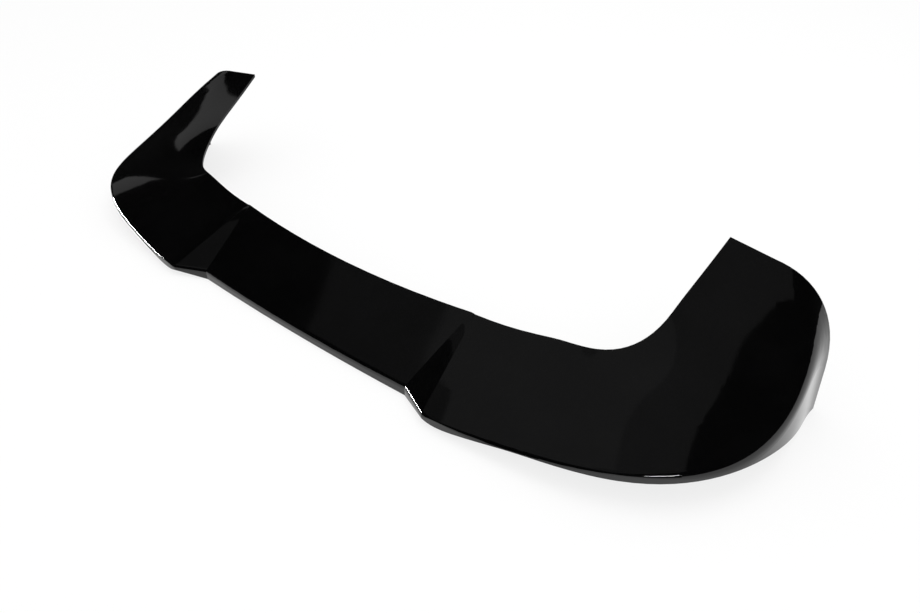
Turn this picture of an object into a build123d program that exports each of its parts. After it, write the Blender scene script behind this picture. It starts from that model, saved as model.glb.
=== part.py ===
"""Roof spoiler cap: a one-piece formed plastic shell, U-shaped in plan, as it lies on a flat floor.
Frame: X to the car's right, Y to the car's front, Z up, floor at Z = 0, millimetres.
The shell is an outer form less an inner form, both lofted from the same upright sections."""

import os
from math import hypot

from build123d import *

# Skin
wall = 4.5
lip_round = 5.0
lip_depth = 6.5

# Rear edge of the blade wings lies this far behind the origin
tail = -170.7

# Centre panel, set back and down between the wings
mid_setback = 18.3
mid_height = 12.0
mid_edge_height = 72.2

# Notches in the rear edge: inner corner at the foot of the ramp, outer corner at its crest
notch_inner_x = 198.7
notch_inner_setback = 22.6
notch_inner_height = 14.3
notch_outer_x = 245.6
notch_outer_height = 15.1
ramp_foot_end_x = 217.0
ramp_foot_end_height = 72.2
ramp_crest_end_x = 223.0
ramp_crest_end_height = 70.6
ramp_end_setback = 131.0

# Fan of sections that carries each wing round the rear corner into its arm
fan_x = 315.0
fan_setback = 262.0
fan_inner_reach = 100.0

wing_reach = 257.4
wing_height = 20.9
wing_inner_height = 83.1

bend_angle = 25.0
bend_reach = 262.5
bend_height = 35.6
bend_inner_height = 83.2
bend_bow = 1.5

corner_angle = 50.0
corner_reach = 284.5
corner_height = 46.6
corner_inner_height = 84.5
corner_bow = 4.0
corner_lip_depth = 10.5

hip_angle = 70.0
hip_reach = 286.0
hip_height = 56.6
hip_inner_height = 103.5
hip_bow = 5.0
hip_round = 8.0
hip_flare = 0.08
hip_skirt_depth = 20.5

root_angle = 90.0
root_reach = 272.5
root_height = 99.1
root_inner_height = 126.6
root_bow = 4.0
root_round = 16.0
root_flare = 0.10
root_skirt_depth = 88.0

# Rounding down the skirt, as a multiple of the rounding across the top
skirt_round_ratio = 1.5

# Front end of the arm
tip_setback = 330.0
tip_reach = 270.0
tip_height = 155.6
tip_inner_height = 162.6
tip_round = 72.0

# Slanting plane that ends each arm
front_setback = 367.2
front_sweep = 0.09
front_rake = -0.085

# Inner edge of the U
gap_setback = 119.4
gap_radius = 1975.0
gap_corner_radius = 104.0
gap_arm_x = 429.8
gap_arm_setback = 242.0
gap_arm_splay = 0.135

# Room that the trimming bodies take beyond the shell
ramp_run_on = 14.0
run_out = 60.0
far_out = 800.0

fan_y = tail + fan_setback
lip_rounding = (lip_round, lip_round)
floor = 0.0


def upright(point, toward):
    """Upright plane through a plan point; its local X runs outward in plan, its local Y is up."""
    outward = Vector(toward[0], toward[1], 0)
    return Plane(origin=(point[0], point[1], 0), x_dir=outward, z_dir=outward.cross(Vector(0, 0, 1)))


def heading(angle):
    """Outward plan direction of a fan section, from straight back (0) to straight sideways (90)."""
    turned = Vector(0, -1, 0).rotate(Axis.Z, angle)
    return (turned.X, turned.Y)


def skin_section(plane, inner, crest, bow, rounding, flare, foot, inset):
    """Closed section of a form: bowed top from the inner end to the rounded crest, then down past the foot."""
    knee_r = (inner[0] + crest[0]) / 2
    knee_z = (inner[1] + crest[1]) / 2 + bow
    rise = (inner[1] - knee_z) / (knee_r - inner[0])
    fall = (knee_z - crest[1]) / (crest[0] - knee_r)
    slant = hypot(1, fall)
    crest_r = crest[0] - inset
    crest_z = crest[1] + inset * (fall - slant)
    knee_z -= inset * slant
    inner_r = inner[0] + inset
    inner_z = knee_z + rise * (knee_r - inner_r)
    across = rounding[0] - inset / 2
    down = rounding[1] - inset / 2
    base = foot - run_out - inset
    top_end = (crest_r - across / slant, crest_z + across * fall / slant)
    side_start = (crest_r + flare * down, crest_z - down)
    side_end = (crest_r + flare * (crest_z - base), base)
    bow_end = ((knee_r + top_end[0]) / 2, (knee_z + top_end[1]) / 2)
    with BuildSketch(plane) as outline:
        with BuildLine():
            Bezier((inner_r, inner_z), (knee_r, knee_z), bow_end)
            Line(bow_end, top_end)
            Bezier(top_end, (crest_r, crest_z), side_start)
            Line(side_start, side_end)
            Line(side_end, (inner_r, base))
            Line((inner_r, base), (inner_r, inner_z))
        make_face()
    return outline.sketch


def trim_section(plane, inner, crest, bow, rounding, flare, foot):
    """Closed section of the body that trims the lower edge, level at the foot and reaching past the skin."""
    with BuildSketch(plane) as outline:
        Polygon(
            (inner[0], foot),
            (crest[0] + run_out, foot),
            (crest[0] + run_out, foot - 2 * run_out),
            (inner[0], foot - 2 * run_out),
            align=None,
        )
    return outline.sketch


def mirrored(plane):
    """The same upright plane on the left side of the car."""
    point = plane.origin
    outward = plane.x_dir
    return upright((-point.X, point.Y), (-outward.X, outward.Y))


def ramp_plane(end_x, notch_x, notch_setback):
    """Upright plane along a ramp line, from the ramp's front end to the notch, with the reach between them."""
    end = (end_x, tail + ramp_end_setback)
    run = (notch_x - end_x, notch_setback - ramp_end_setback)
    return upright(end, run), hypot(*run)


foot_plane, foot_reach = ramp_plane(ramp_foot_end_x, notch_inner_x, notch_inner_setback)
crest_plane, crest_reach = ramp_plane(ramp_crest_end_x, notch_outer_x, 0)
inboard = fan_x - notch_outer_x
inboard_plane = ramp_plane(ramp_crest_end_x - inboard, notch_outer_x - inboard, 0)[0]
mid_plane = upright((0, tail + ramp_end_setback), (0, -1))
mid_reach = ramp_end_setback - mid_setback


def ramp_inner(end_height, reach, notch_height):
    """Inner end of a ramp section, carried on past the inner edge of the U."""
    fall = (end_height - notch_height) / reach
    return (-ramp_run_on, end_height + fall * ramp_run_on)


mid_section = (
    ramp_inner(mid_edge_height, mid_reach, mid_height),
    (mid_reach, mid_height),
    0,
    lip_rounding,
    0,
    floor,
)
foot_section = (
    ramp_inner(ramp_foot_end_height, foot_reach, notch_inner_height),
    (foot_reach, notch_inner_height),
    0,
    lip_rounding,
    0,
    floor,
)
crest_section = (
    ramp_inner(ramp_crest_end_height, crest_reach, notch_outer_height),
    (crest_reach, notch_outer_height),
    0,
    lip_rounding,
    0,
    notch_outer_height - lip_depth,
)

# The arm runs straight on past its tip, to be ended by the slanting plane
run_on = (front_setback - tip_setback) / (tip_setback - fan_setback)


def onward(root, tip):
    return tip + (tip - root) * run_on


wing_sections = [
    (inboard_plane, *crest_section),
    (crest_plane, *crest_section),
    (
        upright((fan_x, fan_y), heading(0)),
        (fan_inner_reach, wing_inner_height),
        (wing_reach, wing_height),
        0,
        lip_rounding,
        0,
        wing_height - lip_depth,
    ),
    (
        upright((fan_x, fan_y), heading(bend_angle)),
        (fan_inner_reach, bend_inner_height),
        (bend_reach, bend_height),
        bend_bow,
        lip_rounding,
        0,
        bend_height - lip_depth,
    ),
    (
        upright((fan_x, fan_y), heading(corner_angle)),
        (fan_inner_reach, corner_inner_height),
        (corner_reach, corner_height),
        corner_bow,
        lip_rounding,
        0,
        corner_height - corner_lip_depth,
    ),
    (
        upright((fan_x, fan_y), heading(hip_angle)),
        (fan_inner_reach, hip_inner_height),
        (hip_reach, hip_height),
        hip_bow,
        (hip_round, hip_round * skirt_round_ratio),
        hip_flare,
        hip_height - hip_skirt_depth,
    ),
    (
        upright((fan_x, fan_y), heading(root_angle)),
        (fan_inner_reach, root_inner_height),
        (root_reach, root_height),
        root_bow,
        (root_round, root_round * skirt_round_ratio),
        root_flare,
        root_height - root_skirt_depth,
    ),
    (
        upright((fan_x, tail + tip_setback), heading(root_angle)),
        (fan_inner_reach, tip_inner_height),
        (tip_reach, tip_height),
        0,
        (tip_round, tip_round * skirt_round_ratio),
        root_flare,
        floor,
    ),
    (
        upright((fan_x, onward(fan_y, tail + tip_setback)), heading(root_angle)),
        (fan_inner_reach, onward(root_inner_height, tip_inner_height)),
        (onward(root_reach, tip_reach), onward(root_height, tip_height)),
        0,
        (tip_round, tip_round * skirt_round_ratio),
        root_flare,
        floor,
    ),
]


def form(drawn):
    """Body lofted through all the sections, each drawn by the given function, with its mirror image."""
    left_foot = drawn(mirrored(foot_plane), *foot_section)
    middle = drawn(mid_plane, *mid_section)
    foot = drawn(foot_plane, *foot_section)
    crest = drawn(crest_plane, *crest_section)
    wing = [drawn(*station) for station in wing_sections]
    with BuildPart() as wing_side:
        loft(sections=wing)
        split(bisect_by=crest_plane, keep=Keep.BOTTOM)
    with BuildPart() as body:
        loft(sections=[left_foot, middle, foot])
        loft(sections=[foot, crest], ruled=True)
        add(wing_side.part)
        mirror(about=Plane.YZ)
    return body.part


outer_form = form(lambda *station: skin_section(*station, inset=0))
inner_form = form(lambda *station: skin_section(*station, inset=wall))
edge_trim = form(trim_section)

with BuildPart() as spoiler_cap:
    add(outer_form)

    # Open side of the U
    with BuildSketch():
        front = front_setback + run_out
        back_x = gap_arm_x - gap_arm_splay * gap_arm_setback
        front_x = gap_arm_x + gap_arm_splay * (front - gap_arm_setback)
        Polygon(
            (-back_x, tail),
            (back_x, tail),
            (front_x, tail + front),
            (-front_x, tail + front),
            align=None,
        )
        with Locations((0, tail + gap_setback + gap_radius)):
            Circle(gap_radius, mode=Mode.INTERSECT)
        corners = [corner for corner in vertices() if corner.Y < tail + gap_arm_setback]
        fillet(corners, gap_corner_radius)
    extrude(amount=far_out, both=True, mode=Mode.SUBTRACT)

    # Hollow side and lower edge
    add(inner_form, mode=Mode.SUBTRACT)
    add(edge_trim, mode=Mode.SUBTRACT)

    # Slanting front ends
    for side in (-1, 1):
        cut = Plane(origin=(0, tail + front_setback, 0), z_dir=(side * front_sweep, 1, front_rake))
        split(bisect_by=cut, keep=Keep.BOTTOM)

    # Nothing hangs below the floor
    with BuildSketch():
        Rectangle(2 * far_out, 2 * far_out)
    extrude(amount=-far_out, mode=Mode.SUBTRACT)

spoiler_cap.part.label = "spoiler_cap"
os.makedirs("parts", exist_ok=True)
export_step(spoiler_cap.part, "parts/spoiler_cap.step")
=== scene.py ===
"""Gloss black rear spoiler cap, lying on a white studio floor.
Metres, +X to the car's right, +Y to the car's front, +Z up, floor at Z = 0."""

import math

import bmesh
import bpy
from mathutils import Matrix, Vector

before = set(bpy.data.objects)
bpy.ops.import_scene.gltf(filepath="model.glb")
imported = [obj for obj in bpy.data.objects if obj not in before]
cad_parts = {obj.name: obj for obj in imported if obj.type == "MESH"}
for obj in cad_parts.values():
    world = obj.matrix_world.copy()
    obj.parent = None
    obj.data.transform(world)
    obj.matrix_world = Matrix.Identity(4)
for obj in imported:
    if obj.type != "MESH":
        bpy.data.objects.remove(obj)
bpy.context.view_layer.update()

# The cap is one sheet of black plastic, formed over a mould and trimmed to a U.
# Its show side is polished like piano black; the hollow side keeps the satin face
# that lay on the mould, and nothing is fixed to it.


class Value:
    """A shader socket that takes part in Python arithmetic, each operation adding a Math node."""

    def __init__(self, tree, socket=None):
        self.tree = tree
        self.socket = socket

    def node(self, kind, settings=None, **inputs):
        """Adds a node, sets it up, then fills or links its sockets.
        A socket goes by its name, with _ for a space, or by its number, as i2."""
        added = self.tree.nodes.new(kind)
        for name, setting in (settings or {}).items():
            setattr(added, name, setting)
        for name, given in inputs.items():
            spot = added.inputs[int(name[1:]) if name[1:].isdigit() else name.replace("_", " ")]
            if isinstance(given, Value):
                self.tree.links.new(given.socket, spot)
            else:
                spot.default_value = given
        return added

    def out(self, added, name):
        return Value(self.tree, added.outputs[name])

    def math(self, operation, first, second, clamp=False):
        settings = {"operation": operation, "use_clamp": clamp}
        return self.out(self.node("ShaderNodeMath", settings, i0=first, i1=second), "Value")

    def __add__(self, other):
        return self.math("ADD", self, other)

    def __sub__(self, other):
        return self.math("SUBTRACT", self, other)

    def __mul__(self, other):
        return self.math("MULTIPLY", self, other)

    def __radd__(self, other):
        return self.math("ADD", other, self)

    def __rsub__(self, other):
        return self.math("SUBTRACT", other, self)

    def __rmul__(self, other):
        return self.math("MULTIPLY", other, self)

    def between(self, low, high):
        """0 below low, 1 above high, smooth in between."""
        settings = {"interpolation_type": "SMOOTHSTEP"}
        added = self.node("ShaderNodeMapRange", settings, Value=self, From_Min=low, From_Max=high)
        return self.out(added, "Result")


show_black = (0.0007, 0.0007, 0.0008, 1.0)
hollow_black = (0.0050, 0.0050, 0.0052, 1.0)
show_roughness = 0.055
haze_roughness = 0.05
hollow_roughness = 0.42
plastic_ior = 1.5

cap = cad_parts["spoiler_cap"]
finish = bpy.data.materials.new("piano_black")
finish.use_nodes = True
tree = finish.node_tree
shader = tree.nodes["Principled BSDF"]
start = Value(tree)
at = start.out(start.node("ShaderNodeTexCoord"), "Object")

# Which side of the sheet a point is on: facing away from the middle of its own half, or towards it
hollow_middle_x = 0.30
hollow_middle_y = 0.06
side_softness = 0.004
facing = start.node("ShaderNodeNewGeometry")
split_at = start.node("ShaderNodeSeparateXYZ", Vector=at)
half = start.math("SIGN", start.out(split_at, "X"), 0.0)
middle = start.node("ShaderNodeCombineXYZ", X=half * hollow_middle_x, Y=hollow_middle_y, Z=0.0)
away = start.node("ShaderNodeVectorMath", {"operation": "SUBTRACT"}, i0=at, i1=start.out(middle, "Vector"))
outward = start.node(
    "ShaderNodeVectorMath",
    {"operation": "DOT_PRODUCT"},
    i0=start.out(facing, "True Normal"),
    i1=start.out(away, "Vector"),
)
show_side = start.out(outward, "Value").between(-side_softness, side_softness)

# Black with a faint cloudiness, and a haze of fine wiping marks in the polish
cloud_scale = 14.0
cloud_range = (0.35, 0.75)
cloud_share = 0.15
wipe_turn = 0.5
wipe_stretch = (40.0, 900.0, 900.0)
wipe_range = (0.5, 0.8)
cloud = start.node("ShaderNodeTexNoise", Vector=at, Scale=cloud_scale, Detail=3.0, Roughness=0.55)
wipe_map = start.node("ShaderNodeMapping", Vector=at, Rotation=(0.0, 0.0, wipe_turn), Scale=wipe_stretch)
wipes = start.node("ShaderNodeTexNoise", Vector=start.out(wipe_map, "Vector"), Scale=1.0, Detail=2.0)
cloudy = start.out(cloud, "Fac").between(*cloud_range)
wiped = start.out(wipes, "Fac").between(*wipe_range)
black = start.node(
    "ShaderNodeMix",
    {"data_type": "RGBA"},
    i0=show_side * (1.0 - cloudy * cloud_share),
    i6=hollow_black,
    i7=show_black,
)
tree.links.new(black.outputs[2], shader.inputs["Base Color"])
polish = show_roughness + haze_roughness * wiped * cloudy
rough = hollow_roughness + show_side * (polish - hollow_roughness)
tree.links.new(rough.socket, shader.inputs["Roughness"])

# The sheet is not optically flat: long ripples from forming, and a fine peel
ripple_scale = 9.0
ripple_height = 0.0009
peel_scale = 420.0
peel_height = 0.00001
ripple = start.node("ShaderNodeTexNoise", Vector=at, Scale=ripple_scale, Detail=1.0, Roughness=0.4)
peel = start.node("ShaderNodeTexNoise", Vector=at, Scale=peel_scale, Detail=1.0)
relief = start.out(ripple, "Fac") * ripple_height + start.out(peel, "Fac") * peel_height
bump = start.node("ShaderNodeBump", Height=relief, Strength=1.0, Distance=1.0)
tree.links.new(bump.outputs["Normal"], shader.inputs["Normal"])
shader.inputs["IOR"].default_value = plastic_ior

cap.data.materials.clear()
cap.data.materials.append(finish)

# The floor is one seamless white sheet, which reads as plain white except for the cap's shadow.
# Its glow is there for the camera and for reflections alike, and adds no light to the cap.
floor_half = 12.0
floor_white = 0.96
floor_glow = 0.78


def looked_at(tree):
    """1 on camera rays and on reflected or refracted ones, 0 on rays that only carry light."""
    rays = Value(tree)
    path = rays.node("ShaderNodeLightPath")
    seen = rays.out(path, "Is Camera Ray") + rays.out(path, "Is Glossy Ray")
    return seen + rays.out(path, "Is Transmission Ray")


def stage_object(name, shape, cover):
    """A stage object from a finished bmesh, with one material."""
    mesh = bpy.data.meshes.new(name)
    shape.to_mesh(mesh)
    shape.free()
    mesh.materials.append(cover)
    made = bpy.data.objects.new(name, mesh)
    bpy.context.scene.collection.objects.link(made)
    return made


paper = bpy.data.materials.new("white_floor")
paper.use_nodes = True
paper_tree = paper.node_tree
paper_tree.nodes.clear()
seen = looked_at(paper_tree)
dull = seen.node("ShaderNodeBsdfDiffuse", Color=(floor_white, floor_white, floor_white, 1.0))
glow = seen.node("ShaderNodeEmission", Color=(1.0, 1.0, 1.0, 1.0), Strength=1.0)
both = seen.node(
    "ShaderNodeMixShader",
    Fac=seen.math("MULTIPLY", seen, floor_glow, clamp=True),
    i1=seen.out(dull, "BSDF"),
    i2=seen.out(glow, "Emission"),
)
seen.node("ShaderNodeOutputMaterial", Surface=seen.out(both, "Shader"))

sheet = bmesh.new()
bmesh.ops.create_grid(sheet, x_segments=1, y_segments=1, size=floor_half)
stage_object("floor", sheet, paper)

# Black felt flags hang overhead, along the left and behind, out of the picture. They keep the
# top and the lips dark, as gloss black is photographed, and only reflections see them.
flag_height = 3.0
flag_span = 18.0
left_flag_x = -4.0
rear_flag_y = -5.0
felt_black = 0.004

felt = bpy.data.materials.new("black_felt")
felt.use_nodes = True
felt_shader = felt.node_tree.nodes["Principled BSDF"]
felt_shader.inputs["Base Color"].default_value = (felt_black, felt_black, felt_black, 1.0)
felt_shader.inputs["Roughness"].default_value = 1.0


def flag(name, centre, across, up):
    """A sheet of felt, spanned about its centre by two edges."""
    cloth = bmesh.new()
    corners = []
    for side, rise in ((-0.5, -0.5), (0.5, -0.5), (0.5, 0.5), (-0.5, 0.5)):
        corners.append(cloth.verts.new(Vector(centre) + side * Vector(across) + rise * Vector(up)))
    cloth.faces.new(corners)
    hung = stage_object(name, cloth, felt)
    hung.visible_camera = False
    hung.visible_diffuse = False
    hung.visible_shadow = False


wide = (flag_span, 0.0, 0.0)
deep = (0.0, flag_span, 0.0)
tall = (0.0, 0.0, flag_height)
flag("ceiling_flag", (0.0, 0.0, flag_height), wide, deep)
flag("left_flag", (left_flag_x, 0.0, flag_height / 2), deep, tall)
flag("rear_flag", (0.0, rear_flag_y, flag_height / 2), wide, tall)

# Dim softboxes overhead and at the left show as soft grey in the top, and two bright tubes draw
# the thin highlights on the lips. The floor has a lamp of its own, which no reflection shows.
power_per_radiance = 4.0


def softbox(name, place, target, width, length, radiance, lights=True, reflected=True):
    """A flat lamp that faces its target, which may be left out of the lighting or of reflections."""
    lamp = bpy.data.lights.new(name, "AREA")
    lamp.shape = "RECTANGLE"
    lamp.size = width
    lamp.size_y = length
    lamp.energy = radiance * power_per_radiance * width * length
    holder = bpy.data.objects.new(name, lamp)
    bpy.context.scene.collection.objects.link(holder)
    holder.location = place
    holder.rotation_euler = (Vector(target) - Vector(place)).to_track_quat("-Z", "Y").to_euler()
    holder.visible_diffuse = lights
    holder.visible_glossy = reflected


overhead_height = 2.6
overhead_length = 4.4


def overhead(name, left, right, radiance):
    """A panel of the overhead softbox, from its left edge to its right edge."""
    middle_x = (left + right) / 2
    place = (middle_x, 0.0, overhead_height)
    softbox(name, place, (middle_x, 0.0, 0.0), right - left, overhead_length, radiance)


overhead("overhead_left", left=-2.25, right=-1.35, radiance=0.05)
overhead("overhead_middle", left=-1.35, right=0.0, radiance=0.125)
overhead("overhead_right", left=-0.05, right=0.75, radiance=0.085)
softbox(
    "left_panel",
    place=(-3.4, 0.1, 1.62),
    target=(-0.5, 0.1, 0.15),
    width=0.8,
    length=0.5,
    radiance=0.22,
)
softbox(
    "left_tube",
    place=(-3.0, -1.3, 0.32),
    target=(-0.1, -0.15, 0.03),
    width=1.4,
    length=0.08,
    radiance=300.0,
    lights=False,
)
softbox(
    "rear_tube",
    place=(1.85, -1.25, 1.8),
    target=(0.45, -0.12, 0.03),
    width=0.9,
    length=0.06,
    radiance=130.0,
    lights=False,
)
softbox(
    "floor_lamp",
    place=(0.4, 0.5, 2.8),
    target=(0.0, 0.0, 0.0),
    width=2.0,
    length=2.0,
    radiance=1.5,
    reflected=False,
)

# The room is white all round. It lights the cap evenly at a little under full strength,
# and shows at full strength to the camera and in reflections.
ambient = 0.8

world = bpy.data.worlds.new("studio")
bpy.context.scene.world = world
world.use_nodes = True
backdrop = world.node_tree.nodes["Background"]
strength = ambient + (1.0 - ambient) * looked_at(world.node_tree)
world.node_tree.links.new(strength.socket, backdrop.inputs["Strength"])
backdrop.inputs["Color"].default_value = (1.0, 1.0, 1.0, 1.0)

# The camera stands behind the car's right rear corner and looks down on the cap.
# Its focal length is given in pixels of a picture 920 wide.
photo_width = 920
focal_pixels = 730.0
camera_place = (0.6577, -0.6116, 0.6266)
camera_tilt = 52.93
camera_turn = 38.74

lens = bpy.data.cameras.new("camera")
lens.sensor_fit = "HORIZONTAL"
lens.sensor_width = 36.0
lens.lens = focal_pixels / photo_width * lens.sensor_width
lens.clip_start = 0.01
lens.clip_end = 100.0
camera = bpy.data.objects.new("camera", lens)
bpy.context.scene.collection.objects.link(camera)
camera.location = camera_place
camera.rotation_euler = (math.radians(camera_tilt), 0.0, math.radians(camera_turn))
bpy.context.scene.camera = camera

bpy.context.scene.view_settings.view_transform = "Standard"

bpy.context.view_layer.update()
